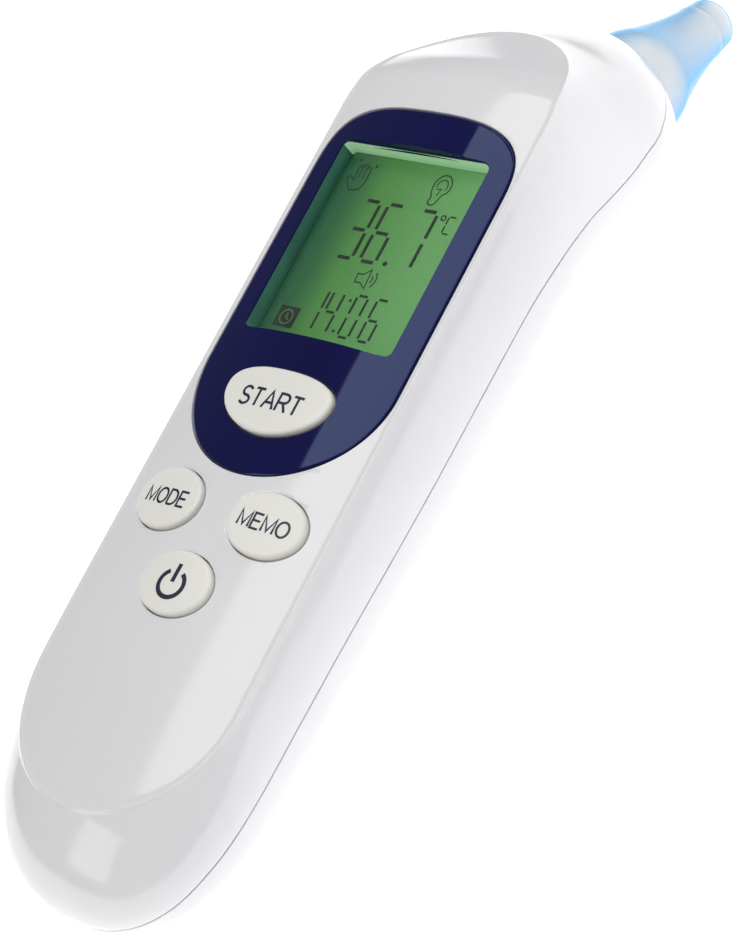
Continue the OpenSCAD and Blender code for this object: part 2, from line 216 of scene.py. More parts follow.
# ---- meshes --------------------------------------------------------------------------------------
def link(mesh, name):
    obj = bpy.data.objects.new(name, mesh)
    bpy.context.scene.collection.objects.link(obj)
    return obj


def finish_mesh(mesh):
    mesh.polygons.foreach_set("use_smooth", [True] * len(mesh.polygons))
    mesh.set_sharp_from_angle(angle=math.radians(SHARP_DEGREES))
    mesh.update()


def solid(name, points, faces):
    """Mesh object from body millimetres, welded, normals outwards."""
    mesh = bpy.data.meshes.new(name)
    mesh.from_pydata(world(points).tolist(), [], faces)
    bm = bmesh.new()
    bm.from_mesh(mesh)
    bmesh.ops.remove_doubles(bm, verts=bm.verts, dist=WELD)
    bmesh.ops.recalc_face_normals(bm, faces=bm.faces)
    bm.to_mesh(mesh)
    bm.free()
    finish_mesh(mesh)
    return link(mesh, name)


def combine(target, tool, how):
    """Boolean of two closed pieces, applied to the target. The tool is deleted."""
    mod = target.modifiers.new("cut", "BOOLEAN")
    mod.operation = how
    mod.object = tool
    mod.solver = "MANIFOLD"
    graph = bpy.context.evaluated_depsgraph_get()
    mesh = bpy.data.meshes.new_from_object(target.evaluated_get(graph))
    target.modifiers.clear()
    target.data = mesh
    bpy.data.objects.remove(tool)
    finish_mesh(mesh)
    return target


def grid_faces(rows, columns, start=0):
    """Quads between consecutive rows of a ring-by-ring point list."""
    faces = []
    for k in range(rows - 1):
        for i in range(columns):
            j = (i + 1) % columns
            a, b = start + k * columns, start + (k + 1) * columns
            faces.append((a + i, a + j, b + j, b + i))
    return faces


def rings_solid(name, rings):
    """Closed solid through a list of rings with the same number of points, capped at both ends."""
    n = len(rings[0])
    points = np.concatenate(rings)
    faces = grid_faces(len(rings), n)
    faces.append(tuple(range(n)))
    faces.append(tuple(range(len(points) - 1, len(points) - n - 1, -1)))
    return solid(name, points, faces)


# ---- rays from the middle of the face to the parting line ------------------------------------------
def outline_rays(straight=130, fan=72):
    """For each ray: a point on the axis, the crease point and the point on the parting line."""
    y = np.linspace(PLATE_LOW, PLATE_HIGH, straight)
    a = np.linspace(0, math.pi, fan + 2)[1:-1]
    zero, w = np.zeros(straight), np.full(straight, PLATE_HW)
    axis = np.concatenate([np.stack([zero, y], 1), np.tile([0, PLATE_HIGH], (fan, 1)),
                           np.stack([zero, y[::-1]], 1), np.tile([0, PLATE_LOW], (fan, 1))])
    crease = np.concatenate([np.stack([w, y], 1),
                             np.stack([PLATE_HW * np.cos(a), PLATE_HIGH + PLATE_HEAD * np.sin(a)], 1),
                             np.stack([-w, y[::-1]], 1),
                             np.stack([-PLATE_HW * np.cos(a), PLATE_LOW - PLATE_FOOT * np.sin(a)], 1)])
    step = crease - axis
    low, high = np.ones(len(step)), np.full(len(step), 3.0)
    for _ in range(50):
        mid = (low + high) / 2
        p = axis + step * mid[:, None]
        inside = np.abs(p[:, 0]) < half_width(p[:, 1])
        inside &= (p[:, 1] > BUTT_Y) & (p[:, 1] < HEAD_Y + HEAD_R)
        low, high = np.where(inside, mid, low), np.where(inside, high, mid)
    return axis, crease, axis + step * low[:, None]


def inward(plan, amount):
    """Plan points moved from the outer skin to a skin inset by an amount."""
    x, y = plan[:, 0], plan[:, 1]
    w = np.maximum(half_width(y), 1e-6)
    shift = amount * (np.clip((BUTT_START - y) / BUTT_LEN, 0, 1) - np.clip((y - HEAD_Y) / HEAD_R, 0, 1))
    return np.stack([x * np.maximum(w - amount, 0.02 * w) / w, y + shift], 1)


def front_points(plan, inset):
    x, y = plan[:, 0], plan[:, 1]
    share = side_share(x, y)
    moved = inward(plan, inset)
    z = side_z(share, y, inset)
    on_plate = (np.abs(x) < plate_half(y)) & (y > PLATE_FOOT_Y) & (y < PLATE_HEAD_Y)
    z = np.where(on_plate, np.minimum(z, plate_z(moved[:, 0], y) - inset), z)
    return np.column_stack([moved, z])


def front_cover():
    """Face plate with its raised crease and the side walls down to the parting line."""
    axis, crease, edge = outline_rays()
    rings = []
    rim_steps = [3.0, 2.0, 1.4, 1.0, 0.75, 0.55, 0.4, 0.28, 0.18, 0.09, 0.0]
    fractions = [k / 12 * (1 - 3.0 / PLATE_HW) for k in range(12)] + [1 - d / PLATE_HW for d in rim_steps]
    for f in fractions:
        plan = axis + (crease - axis) * f
        d = np.linalg.norm(crease - plan, axis=1)
        z = plate_z(plan[:, 0], plan[:, 1]) + LIP * np.exp(-(d / 0.5) ** 2)
        rings.append(np.column_stack([plan, z]))
    width = np.linalg.norm(edge - crease, axis=1)
    near = [0.07, 0.14, 0.22, 0.32, 0.45, 0.65]
    start = np.minimum(0.65 / width, 0.4)
    shares = [start * d / 0.65 for d in near]
    shares += [start + (1 - start) * (1 - (1 - k / 26) ** 2) for k in range(1, 27)]
    for f in shares:
        plan = crease + (edge - crease) * f[:, None]
        d = np.linalg.norm(plan - crease, axis=1)
        z = side_z(side_share(plan[:, 0], plan[:, 1]), plan[:, 1]) + LIP * np.exp(-(d / 0.22) ** 2)
        z = np.maximum(z, parting_z(plan[:, 1]) + SEAM_EDGE)
        rings.append(np.column_stack([plan, z]))
    lip_plan = edge + (axis - edge) * (SEAM_IN / np.linalg.norm(axis - edge, axis=1))[:, None]
    rings.append(np.column_stack([lip_plan, parting_z(edge[:, 1]) + SEAM_GAP]))
    for f in [1, 0.97, 0.93, 0.88, 0.8, 0.7, 0.55, 0.4, 0.2, 0]:
        plan = axis + (edge - axis) * f
        inner = front_points(plan, WALL)
        if f == 1:
            inner[:, 2] = parting_z(plan[:, 1]) + SEAM_GAP
        rings.append(inner)
    n = len(axis)
    return solid("front_cover", np.concatenate(rings), grid_faces(len(rings), n))


def rear_bowl(name, wall):
    """Closed shell of the back, from the parting line inwards, with a wall."""
    axis, _, edge = outline_rays(straight=200)
    rings = []
    reach = np.linalg.norm(axis - edge, axis=1)
    lip_plan = edge + (axis - edge) * (SEAM_IN / reach)[:, None]
    rings.append(np.column_stack([lip_plan, parting_z(edge[:, 1]) - SEAM_GAP]))
    for k in range(0, 41):
        plan = edge + (axis - edge) * (k / 40) ** 2.2
        x, y = plan[:, 0], plan[:, 1]
        z = bowl_z(side_share(x, y), y)
        z = np.minimum(z, parting_z(y) - SEAM_EDGE) - grip(x, y)
        rings.append(np.column_stack([plan, z]))
    outer = len(rings)
    for k in range(20, -1, -1):
        plan = edge + (axis - edge) * (k / 20) ** 2.2
        y = plan[:, 1]
        z = np.minimum(bowl_z(side_share(plan[:, 0], y), y, wall), parting_z(y) - SEAM_GAP)
        rings.append(np.column_stack([inward(plan, wall), z]))
    # each skin closes on itself along the axis, so no faces join the two there
    n = len(axis)
    faces = grid_faces(outer, n) + grid_faces(len(rings) - outer, n, start=outer * n)
    last = (len(rings) - 1) * n
    faces += [(last + i, last + (i + 1) % n, (i + 1) % n, i) for i in range(n)]
    return solid(name, np.concatenate(rings), faces)


# ---- outlines on the face ---------------------------------------------------------------------------
def panel_outline(g=0.0):
    """Dark panel: half-oval foot, straight sides, gently arched top with round corners."""
    hw = 15.2
    a = np.radians(np.arange(0, 181, 3))
    foot = np.stack([(hw - 0.3 * np.sin(a) + g) * np.cos(a), -18.5 - (14.4 + g) * np.sin(a)], 1)
    b = np.radians(np.arange(180, -1, -3))
    c, power = np.cos(b), 3.6
    head = np.stack([(hw + g) * np.sign(c) * np.abs(c) ** (2 / power),
                     8 + (11.1 + g) * np.clip(np.sin(b), 0, 1) ** (2 / power)], 1)
    return np.concatenate([foot, head])


def start_outline(g=0.0):
    """Rounded shield, widest near its top edge."""
    a = np.radians(np.arange(0, 360, 4))
    c, s = np.cos(a), np.sin(a)
    power = np.where(s > 0, 2.6, 1.85)
    tall = np.where(s > 0, 3.4, 5.4) + g
    x = (8.25 + g) * np.sign(c) * np.abs(c) ** (2 / power)
    y = tall * np.sign(s) * np.abs(s) ** (2 / power)
    return np.stack([x, START_Y + 0.9 + y], 1)


def oval_outline(centre, g=0.0):
    a = np.radians(np.arange(0, 360, 5))
    return np.stack([centre[0] + (KEY_A + g) * np.cos(a), centre[1] + (KEY_B + g) * np.sin(a)], 1)


def window_outline(g=0.0, corner=0.9):
    points = []
    for sx, sy, a0 in ((1, 1, 0), (-1, 1, 90), (-1, -1, 180), (1, -1, 270)):
        for a in np.radians(a0 + np.arange(0, 91, 15)):
            points.append((sx * (WIN_W / 2 - corner) + (corner + g) * math.cos(a),
                           sy * (WIN_L / 2 - corner) + (corner + g) * math.sin(a)))
    return np.array(points)


def prism(name, outline, levels):
    """Solid through outlines at several levels: (height, growth, follows the crown or not)."""
    rings = []
    for height, growth, follows in levels:
        o = outline(growth)
        z = crown(o[:, 0]) + height if follows else np.full(len(o), float(height))
        rings.append(np.column_stack([o, z]))
    return rings_solid(name, rings)


def crown_slab(name, top, bottom):
    """Slab between two levels of the face's crown."""
    x = np.linspace(-19, 19, 96)
    profile = np.concatenate([np.stack([x, crown(x) + top], 1), np.stack([x, crown(x) + bottom], 1)[::-1]])
    rings = [np.column_stack([profile[:, 0], np.full(len(profile), y), profile[:, 1]]) for y in (-45.0, 30.0)]
    return rings_solid(name, rings)


def box(name, low, high):
    low, high = np.array(low, float), np.array(high, float)
    corners = np.array([[low[0], low[1]], [high[0], low[1]], [high[0], high[1]], [low[0], high[1]]])
    rings = [np.column_stack([corners, np.full(4, z)]) for z in (low[2], high[2])]
    return rings_solid(name, rings)


def rod(name, centre, radius, z0, z1, n=40):
    a = np.linspace(0, 2 * math.pi, n, endpoint=False)
    plan = np.stack([centre[0] + radius * np.cos(a), centre[1] + radius * np.sin(a)], 1)
    return rings_solid(name, [np.column_stack([plan, np.full(n, z)]) for z in (z0, z1)])


def door_plan(g):
    """Door opening seen from behind: straight sides, top edge with round corners."""
    r = 2.5
    points = [(-DOOR_HW - g, -115), (DOOR_HW + g, -115)]
    for sx, a0 in ((1, 0), (-1, 90)):
        for a in np.radians(a0 + np.arange(0, 91, 15)):
            points.append((sx * (DOOR_HW - r) + (r + g) * math.cos(a), DOOR_Y - r + (r + g) * math.sin(a)))
    return np.array(points)


def door_tool(name, g):
    plan = door_plan(g)
    return rings_solid(name, [np.column_stack([plan, np.full(len(plan), z)]) for z in (-60.0, DOOR_Z + g)])


# ---- turned pieces round the probe's axis -----------------------------------------------------------
def turned(name, profile, n=128):
    """Turned piece from (radius, distance from the head's centre) pairs."""
    d = np.array([0, math.cos(PROBE_ANGLE), -math.sin(PROBE_ANGLE)])
    e = np.array([1.0, 0, 0])
    f = np.cross(d, e)
    a = np.linspace(0, 2 * math.pi, n, endpoint=False)
    centre = np.array([0, HEAD_Y, HEAD_Z])
    rings = [centre + d * s + r * (np.outer(np.cos(a), e) + np.outer(np.sin(a), f)) for r, s in profile]
    last = (len(rings) - 1) * n
    faces = grid_faces(len(rings), n)
    faces += [(last + i, last + (i + 1) % n, (i + 1) % n, i) for i in range(n)]
    return solid(name, np.concatenate(rings), faces)


def flare(t):
    """Outer radius of the probe cover, t behind its tip: a trumpet that runs out straight."""
    if t < FLARE_LEN:
        return TIP_R + 0.045 * t + 0.0094 * t * t
    return FLARE_R + RIM_RISE * (1 - math.exp(-(t - FLARE_LEN) * RIM_SLOPE / RIM_RISE))


# ---- materials ---------------------------------------------------------------------------------------
def new_material(name):
    mat = bpy.data.materials.new(name)
    mat.use_nodes = True
    tree = mat.node_tree
    return mat, tree, tree.nodes["Principled BSDF"]


def plastic(name, dark, light, rough, rough_spread=0.06, scale=60.0, bump=0.02, bump_scale=900.0,
            coat=0.0, metallic=0.0, subsurface=0.0, tint=(1.0, 1.0, 1.0), glow=0.0):
    """Moulded or plated surface: drifting colour, uneven gloss and a fine surface texture."""
    mat, tree, shader = new_material(name)
    nodes, links = tree.nodes, tree.links
    coords = nodes.new("ShaderNodeTexCoord")
    drift = nodes.new("ShaderNodeTexNoise")
    drift.inputs["Scale"].default_value = scale
    drift.inputs["Detail"].default_value = 4.0
    links.new(coords.outputs["Object"], drift.inputs["Vector"])
    ramp = nodes.new("ShaderNodeValToRGB")
    ramp.color_ramp.elements[0].position = 0.3
    ramp.color_ramp.elements[1].position = 0.7
    ramp.color_ramp.elements[0].color = (*dark, 1)
    ramp.color_ramp.elements[1].color = (*light, 1)
    links.new(drift.outputs["Fac"], ramp.inputs["Fac"])
    links.new(ramp.outputs["Color"], shader.inputs["Base Color"])
    gloss = nodes.new("ShaderNodeMapRange")
    gloss.inputs["To Min"].default_value = max(0.02, rough - rough_spread)
    gloss.inputs["To Max"].default_value = rough + rough_spread
    links.new(drift.outputs["Fac"], gloss.inputs["Value"])
    links.new(gloss.outputs["Result"], shader.inputs["Roughness"])
    grain = nodes.new("ShaderNodeTexNoise")
    grain.inputs["Scale"].default_value = bump_scale
    grain.inputs["Detail"].default_value = 3.0
    links.new(coords.outputs["Object"], grain.inputs["Vector"])
    relief = nodes.new("ShaderNodeBump")
    relief.inputs["Strength"].default_value = bump
    relief.inputs["Distance"].default_value = 0.0002
    links.new(grain.outputs["Fac"], relief.inputs["Height"])
    links.new(relief.outputs["Normal"], shader.inputs["Normal"])
    shader.inputs["Metallic"].default_value = metallic
    shader.inputs["Coat Weight"].default_value = coat
    shader.inputs["Coat Roughness"].default_value = 0.06
    shader.inputs["Subsurface Weight"].default_value = subsurface
    shader.inputs["Subsurface Radius"].default_value = (0.004, 0.003, 0.0025)
    shader.inputs["Subsurface Scale"].default_value = 0.3
    shader.inputs["Specular Tint"].default_value = (*tint, 1)
    # glow sets an emission in the light colour: painted light on a part that is no lamp
    shader.inputs["Emission Color"].default_value = (*light, 1)
    shader.inputs["Emission Strength"].default_value = glow
    return mat


def clear_sheet(name, tint, rough=0.03):
    """Thin clear plastic: what is behind it shows through, with a gloss that grows at a slant."""
    mat, tree, shader = new_material(name)
    nodes, links = tree.nodes, tree.links
    tree.nodes.remove(shader)
    through = nodes.new("ShaderNodeBsdfTransparent")
    through.inputs["Color"].default_value = (*tint, 1)
    gloss = nodes.new("ShaderNodeBsdfGlossy")
    smear = nodes.new("ShaderNodeTexNoise")
    smear.inputs["Scale"].default_value = 180
    spread = nodes.new("ShaderNodeMapRange")
    spread.inputs["To Min"].default_value = rough * 0.6
    spread.inputs["To Max"].default_value = rough * 1.6
    links.new(smear.outputs["Fac"], spread.inputs["Value"])
    links.new(spread.outputs["Result"], gloss.inputs["Roughness"])
    slant = nodes.new("ShaderNodeLayerWeight")
    slant.inputs["Blend"].default_value = 0.5
    steep = nodes.new("ShaderNodeMath")
    steep.operation = "POWER"
    steep.inputs[1].default_value = 4.0
    links.new(slant.outputs["Facing"], steep.inputs[0])
    share = nodes.new("ShaderNodeMapRange")
    share.inputs["To Min"].default_value = 0.035
    share.inputs["To Max"].default_value = 0.8
    links.new(steep.outputs["Value"], share.inputs["Value"])
    mix = nodes.new("ShaderNodeMixShader")
    links.new(share.outputs["Result"], mix.inputs["Fac"])
    links.new(through.outputs["BSDF"], mix.inputs[1])
    links.new(gloss.outputs["BSDF"], mix.inputs[2])
    links.new(mix.outputs["Shader"], nodes["Material Output"].inputs["Surface"])
    return mat


def film_material(name):
    """Thin translucent pale-blue polypropylene: bluer where it is seen edge on."""
    mat, tree, shader = new_material(name)
    nodes, links = tree.nodes, tree.links
    coords = nodes.new("ShaderNodeTexCoord")
    streak = nodes.new("ShaderNodeTexNoise")
    streak.inputs["Scale"].default_value = 160
    streak.inputs["Detail"].default_value = 5
    links.new(coords.outputs["Object"], streak.inputs["Vector"])
    slant = nodes.new("ShaderNodeLayerWeight")
    slant.inputs["Blend"].default_value = 0.35
    tint = nodes.new("ShaderNodeValToRGB")
    tint.color_ramp.elements[0].position = 0.3
    tint.color_ramp.elements[0].color = (0.97, 0.98, 0.98, 1)
    tint.color_ramp.elements[1].position = 0.6
    tint.color_ramp.elements[1].color = (0.22, 0.58, 0.92, 1)
    links.new(slant.outputs["Facing"], tint.inputs["Fac"])
    links.new(tint.outputs["Color"], shader.inputs["Base Color"])
    haze = nodes.new("ShaderNodeMapRange")
    haze.inputs["To Min"].default_value = 0.08
    haze.inputs["To Max"].default_value = 0.22
    links.new(streak.outputs["Fac"], haze.inputs["Value"])
    links.new(haze.outputs["Result"], shader.inputs["Roughness"])
    through = nodes.new("ShaderNodeBsdfTransparent")
    depth = nodes.new("ShaderNodeValToRGB")
    depth.color_ramp.elements[0].position = 0.3
    depth.color_ramp.elements[0].color = (0.97, 0.99, 1.0, 1)
    depth.color_ramp.elements[1].position = 0.6
    depth.color_ramp.elements[1].color = (0.42, 0.70, 0.93, 1)
    links.new(slant.outputs["Facing"], depth.inputs["Fac"])
    links.new(depth.outputs["Color"], through.inputs["Color"])
    cover = nodes.new("ShaderNodeMapRange")
    cover.inputs["To Min"].default_value = 0.45
    cover.inputs["To Max"].default_value = 0.85
    links.new(slant.outputs["Facing"], cover.inputs["Value"])
    mix = nodes.new("ShaderNodeMixShader")
    links.new(cover.outputs["Result"], mix.inputs["Fac"])
    links.new(through.outputs["BSDF"], mix.inputs[1])
    links.new(shader.outputs["BSDF"], mix.inputs[2])
    links.new(mix.outputs["Shader"], nodes["Material Output"].inputs["Surface"])
    shader.inputs["IOR"].default_value = 1.25
    return mat


def lcd_material_painted_shade(name):
    """Green transflective display, darker towards its upper left as painted shade, with a fine cell texture.
    """
    mat, tree, shader = new_material(name)
    nodes, links = tree.nodes, tree.links
    coords = nodes.new("ShaderNodeTexCoord")
    split = nodes.new("ShaderNodeSeparateXYZ")
    links.new(coords.outputs["Object"], split.inputs["Vector"])
    # painted shade: the colour ramp runs from dark on the display's left to light on its right
    across = nodes.new("ShaderNodeMapRange")
    across.inputs["From Min"].default_value = -WIN_W / 2 * MM
    across.inputs["From Max"].default_value = WIN_W / 2 * MM
    across.interpolation_type = "SMOOTHSTEP"
    links.new(split.outputs["X"], across.inputs["Value"])
    ramp = nodes.new("ShaderNodeValToRGB")
    ramp.color_ramp.elements[0].color = (0.03, 0.14, 0.07, 1)
    ramp.color_ramp.elements[1].color = (0.26, 0.54, 0.22, 1)
    middle = ramp.color_ramp.elements.new(0.22)
    middle.color = (0.14, 0.36, 0.10, 1)
    links.new(across.outputs["Result"], ramp.inputs["Fac"])
    cell = nodes.new("ShaderNodeTexNoise")
    cell.inputs["Scale"].default_value = 1500
    links.new(coords.outputs["Object"], cell.inputs["Vector"])
    blend = nodes.new("ShaderNodeMix")
    blend.data_type = "RGBA"
    blend.blend_type = "MULTIPLY"
    blend.inputs["Factor"].default_value = 0.18
    links.new(ramp.outputs["Color"], blend.inputs["A"])
    links.new(cell.outputs["Color"], blend.inputs["B"])
    links.new(blend.outputs["Result"], shader.inputs["Base Color"])
    shader.inputs["Roughness"].default_value = 0.35
    shader.inputs["Coat Weight"].default_value = 0.3
    return mat


MATERIALS = {
    "shell": plastic("shell_white", (0.77, 0.765, 0.775), (0.80, 0.795, 0.80), 0.16, 0.03, 25, 0.012, 700,
                     coat=0.35, subsurface=0.08),
    "door": plastic("door_white", (0.76, 0.755, 0.765), (0.79, 0.785, 0.79), 0.2, 0.04, 25, 0.02, 800,
                    coat=0.2, subsurface=0.08),
    "panel": plastic("panel_navy", (0.006, 0.006, 0.055), (0.008, 0.008, 0.068), 0.05, 0.015, 40, 0.002, 400,
                     tint=(0.45, 0.6, 1.0)),
    # painted light: the window walls' green stands in for backlight from the display; this is the darker,
    # shaded copy
    "painted_glow_wall_dim": plastic("painted_glow_wall_dim_teal", (0.05, 0.20, 0.15), (0.09, 0.28, 0.20), 0.2, 0.05, 120,
                           0.02, 900),
    # painted light: the lighter copy for the window's top wall, with emission, a painted highlight and glow
    # where there is no lamp
    "painted_glow_wall_lit": plastic("painted_glow_wall_lit_green", (0.36, 0.66, 0.36), (0.46, 0.76, 0.46), 0.25, 0.05, 120,
                          0.02, 900, glow=0.28),
    "key": plastic("key_ivory", (0.80, 0.79, 0.73), (0.84, 0.83, 0.77), 0.4, 0.05, 60, 0.06, 1800,
                   subsurface=0.1),
    "legend": plastic("legend_navy", (0.008, 0.012, 0.035), (0.014, 0.02, 0.05), 0.45, 0.08, 200, 0.05, 2500),
    "clock": plastic("clock_hands", (0.10, 0.16, 0.10), (0.15, 0.22, 0.14), 0.4, 0.05, 300, 0.02, 2500),
    "segment": plastic("lcd_segment", (0.012, 0.018, 0.012), (0.03, 0.04, 0.025), 0.5, 0.08, 400, 0.02, 2500),
    "film": film_material("film_blue"),
    "collar": plastic("collar_white", (0.74, 0.76, 0.79), (0.8, 0.81, 0.83), 0.22, 0.04, 80, 0.02, 900,
                      coat=0.2),
    "barrel": plastic("barrel_grey", (0.84, 0.86, 0.88), (0.92, 0.93, 0.94), 0.32, 0.06, 110, 0.04, 1200),
    "tray": plastic("tray_white", (0.66, 0.66, 0.66), (0.72, 0.72, 0.72), 0.38, 0.06, 90, 0.08, 1300),
    "lens": clear_sheet("lens_clear", (0.93, 0.98, 0.94)),
    "lcd": lcd_material_painted_shade("lcd_green_painted_shade"),
    "frame": plastic("frame_white", (0.6, 0.6, 0.56), (0.68, 0.68, 0.63), 0.42, 0.06, 90, 0.06, 1300),
    "diffuser": plastic("diffuser_milky", (0.68, 0.78, 0.68), (0.78, 0.86, 0.76), 0.3, 0.05, 90, 0.03, 1300,
                        subsurface=0.2),
    "board": plastic("board_green", (0.01, 0.11, 0.035), (0.02, 0.17, 0.055), 0.3, 0.07, 260, 0.12, 2200),
    "switch": plastic("switch_tin", (0.48, 0.48, 0.47), (0.66, 0.66, 0.65), 0.3, 0.08, 300, 0.08, 2500,
                      metallic=1.0),
    "chip": plastic("chip_epoxy", (0.014, 0.014, 0.015), (0.03, 0.03, 0.032), 0.55, 0.08, 300, 0.15, 3000),
    "flex": plastic("flex_amber", (0.4, 0.14, 0.02), (0.6, 0.26, 0.04), 0.28, 0.05, 220, 0.05, 1800),
    "ir_window": plastic("ir_window_dark", (0.02, 0.02, 0.028), (0.045, 0.045, 0.055), 0.08, 0.03, 200,
                         0.01, 900),
    "gold": plastic("gold_bore", (0.72, 0.46, 0.15), (0.88, 0.64, 0.27), 0.16, 0.05, 260, 0.05, 2200,
                    metallic=1.0),
    "steel": plastic("steel_plated", (0.48, 0.48, 0.49), (0.68, 0.68, 0.69), 0.24, 0.08, 260, 0.06, 2200,
                     metallic=1.0),
    "aluminium": plastic("aluminium_turned", (0.62, 0.62, 0.63), (0.76, 0.76, 0.77), 0.34, 0.08, 320,
                         0.08, 2600, metallic=1.0),
    "cell": plastic("cell_sleeve", (0.02, 0.06, 0.19), (0.04, 0.11, 0.29), 0.26, 0.06, 90, 0.03, 1200,
                    coat=0.3),
}


def dress(obj, *materials):
    obj.data.materials.clear()
    for m in materials:
        obj.data.materials.append(MATERIALS[m])
    return obj


def place(obj, body, slot, *replaced):
    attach(obj, body)
    if replaced:
        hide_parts(*replaced)
    return obj


# ---- camera -------------------------------------------------------------------------------------------
def add_camera():
    data = bpy.data.cameras.new("camera")
    data.sensor_fit = "VERTICAL"
    data.sensor_height = 36.0
    data.sensor_width = 36.0
    data.lens = CAMERA_LENS
    data.clip_start = 0.01
    data.clip_end = 20
    obj = bpy.data.objects.new("camera", data)
    bpy.context.scene.collection.objects.link(obj)
    obj.location = CAMERA_AT
    obj.rotation_euler = CAMERA_TURN
    bpy.context.scene.camera = obj


# ---- housing ------------------------------------------------------------------------------------------
def cut_hole(shell, outline, chamfer=0.12):
    """Hole through the face with a softened rim."""
    levels = [(-12, 0, False), (-chamfer, 0, True), (-chamfer * 0.3, chamfer * 0.3, True),
              (chamfer * 0.5, chamfer * 1.5, True), (8, chamfer * 1.5, False)]
    combine(shell, prism("hole", outline, levels), "DIFFERENCE")


def build_housing():
    front = front_cover()
    cut_hole(front, lambda g: panel_outline(g + 0.12), 0.1)
    for centre in KEYS.values():
        cut_hole(front, lambda g, c=centre: oval_outline(c, g + KEY_GAP))
    bore = [(0.01, 4.0), (8.35, 4.0), (8.35, 30.0), (0.01, 30.0)]
    combine(front, turned("bore", bore), "DIFFERENCE")
    place(dress(front, "shell"), "housing", "shell", "front_shell")

    rear = rear_bowl("rear_cover", WALL)
    combine(rear, door_tool("door_gap", DOOR_GAP), "DIFFERENCE")
    combine(rear, turned("bore", bore), "DIFFERENCE")
    for x, y in SCREWS:
        combine(rear, rod("well", (x, y), WELL_R, WELL_Z, -15.0), "DIFFERENCE")
    place(dress(rear, "shell"), "housing", "shell", "rear_shell")

    lid = rear_bowl("battery_lid", DOOR_T)
    combine(lid, door_tool("door_space", 0.0), "INTERSECT")
    place(dress(lid, "door"), "door", "shell", "battery_door")

    tray = box("battery_tray", (-12.6, -76.4, -15.8), (12.6, -24.3, -7.2))
    combine(tray, box("tray_room", (-11.5, -75.9, -20), (11.5, -25.4, -7.85)), "DIFFERENCE")
    ease_edges(tray, 0.15)
    place(dress(tray, "tray"), "housing", "shell")
    for i, (x, y) in enumerate(SCREWS):
        pillar = rod("screw_pillar_%d" % (i + 1), (x, y), PILLAR_R, PILLAR_LOW, PILLAR_HIGH)
        combine(pillar, rod("well", (x, y), WELL_R, WELL_Z, -15.2), "DIFFERENCE")
        combine(pillar, rod("bolt_hole", (x, y), BOLT_R, WELL_Z, 0), "DIFFERENCE")
        place(dress(pillar, "tray"), "housing", "shell")


def ease_edges(obj, width):
    """Round a piece's hard edges a little."""
    bm = bmesh.new()
    bm.from_mesh(obj.data)
    hard = [e for e in bm.edges if len(e.link_faces) == 2 and e.calc_face_angle() > 0.6]
    bmesh.ops.bevel(bm, geom=hard, offset=width * MM, segments=2, affect="EDGES", clamp_overlap=True)
    bm.to_mesh(obj.data)
    bm.free()
    finish_mesh(obj.data)


# ---- display ------------------------------------------------------------------------------------------
def build_panel():
    """Glossy dark panel with rounded edges, the display window and the start key's opening."""
    panel = crown_slab("display_cover", 0.06, -PANEL_T)
    rounded = [(-3, 0, False), (-0.28, 0, True), (-0.12, -0.05, True), (-0.02, -0.16, True),
               (0.045, -0.34, True), (0.3, -0.42, True), (8, -0.42, False)]
    combine(panel, prism("outline", panel_outline, rounded), "INTERSECT")
    skirt = prism("skirt", lambda g: window_outline(g + 0.7), [(-2.5, 0, False), (-0.6, 0, True)])
    combine(panel, skirt, "UNION")
    softened = [(-12, 0, False), (-0.14, 0, True), (-0.03, 0.04, True), (0.09, 0.16, True), (8, 0.16, False)]
    combine(panel, prism("window", window_outline, softened), "DIFFERENCE")
    combine(panel, prism("start_hole", lambda g: start_outline(g + KEY_GAP), softened), "DIFFERENCE")
    # the second and third materials paint light and shade on the window walls
    dress(panel, "panel", "painted_glow_wall_dim", "painted_glow_wall_lit")
    paint_window_walls(panel)
    place(panel, "housing", "panel", "display_panel")


def paint_window_walls(panel):
    """The window's four walls get painted light: a green painted glow stands in for the display's backlight.
    The top wall is lighter and self-lit, the other walls a darker, shaded teal.
    """
    c, s = math.cos(REST_TILT), math.sin(REST_TILT)
    for face in panel.data.polygons:
        x, y, z = face.center / MM
        by = c * (y - REST_Y) + s * (z - REST_Z)
        bz = -s * (y - REST_Y) + c * (z - REST_Z)
        beyond = max(abs(x) - WIN_W / 2, abs(by) - WIN_L / 2)
        upright = abs(-s * face.normal.y + c * face.normal.z) < 0.3
        if -0.4 < beyond < 0.05 and upright and bz < 1.0:
            # painted light: the top wall gets the lighter, glowing copy and the other walls the darker,
            # shaded one
            face.material_index = 2 if by > WIN_L / 2 - 0.5 else 1


def ribbon(points, width, closed=False):
    """Flat stroke of one width along a line, as quads."""
    p = np.array(points, float)
    p = p[[i == 0 or np.linalg.norm(p[i] - p[i - 1]) > 1e-6 for i in range(len(p))]]
    ahead = np.roll(p, -1, 0) - p
    back = p - np.roll(p, 1, 0)
    if not closed:
        ahead[-1] = back[-1]
        back[0] = ahead[0]
    a = ahead / np.linalg.norm(ahead, axis=1)[:, None]
    b = back / np.linalg.norm(back, axis=1)[:, None]
    t = a + b
    t /= np.maximum(np.linalg.norm(t, axis=1), 1e-6)[:, None]
    n = np.stack([-t[:, 1], t[:, 0]], 1)
    stretch = 1 / np.clip(np.abs((n * np.stack([-a[:, 1], a[:, 0]], 1)).sum(1)), 0.5, 1)
    left, right = p + n * (width / 2 * stretch)[:, None], p - n * (width / 2 * stretch)[:, None]
    quads = []
    for i in range(len(p) if closed else len(p) - 1):
        j = (i + 1) % len(p)
        quads.append([left[i], right[i], right[j], left[j]])
    return quads


